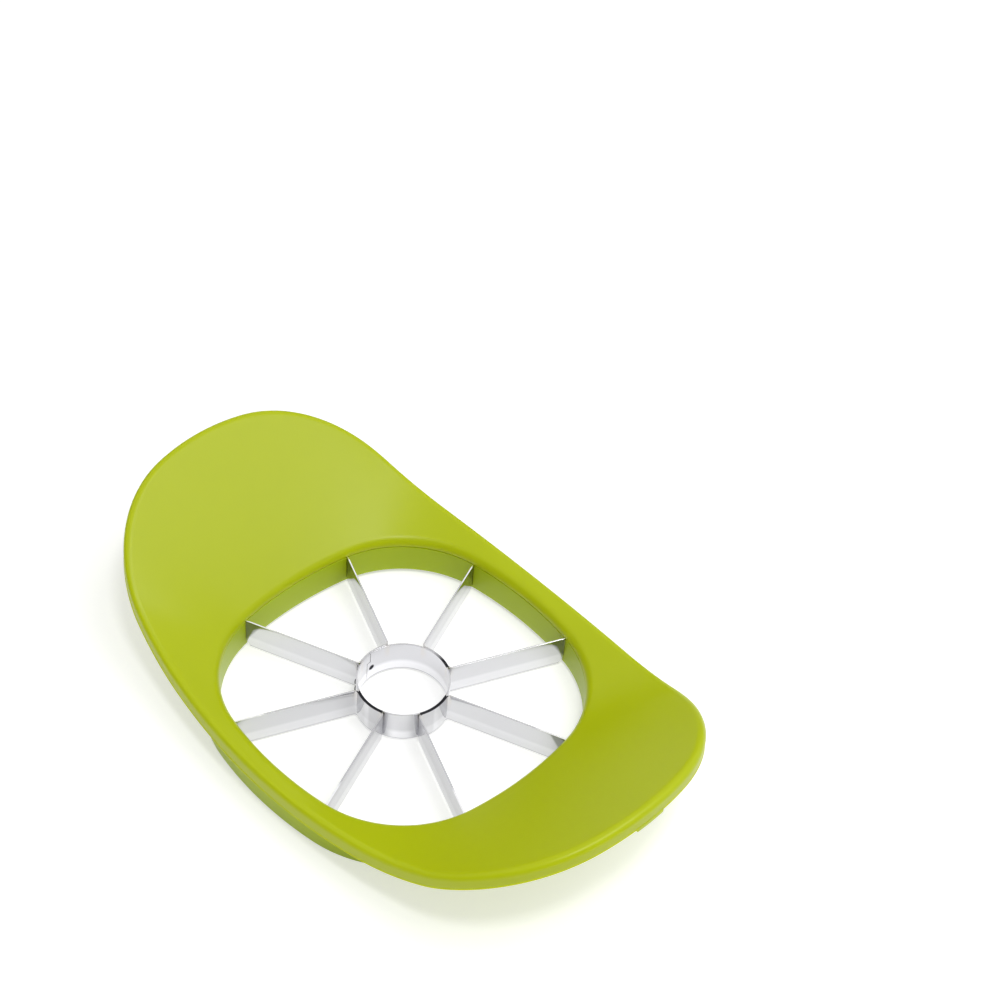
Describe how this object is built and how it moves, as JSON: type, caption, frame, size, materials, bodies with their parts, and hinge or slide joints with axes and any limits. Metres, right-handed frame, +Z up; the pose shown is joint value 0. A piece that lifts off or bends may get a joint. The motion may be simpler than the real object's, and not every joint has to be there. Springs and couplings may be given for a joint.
{
  "type": "fruit corer and wedger",
  "caption": "Push-down fruit corer and wedger: a saddle-shaped moulded top with a raised lobe at each end holds radial steel blades round a central coring ring.",
  "frame": {"origin": "on the core ring's axis, at the level of the table the tool stands on", "axes": "+X along the two raised lobes, the tool's long axis; +Z up, against the way it is pushed; +Y across"},
  "size_m": [0.1624, 0.0964, 0.037],
  "materials": {
    "top_green": "lime green moulded plastic, fine satin texture",
    "carrier_green": "lime green moulded plastic, smoother and slightly darker",
    "blade_steel": "bright rolled stainless strip",
    "ring_steel": "bright rolled stainless strip, spot welded"
  },
  "bodies": {
    "root": {"top_shell": "top_green", "blade_carrier": "carrier_green", "blade_pair_right": "blade_steel", "blade_pair_back": "blade_steel", "blade_pair_left": "blade_steel", "blade_pair_front": "blade_steel", "core_ring": "ring_steel"}
  },
  "joints": []
}
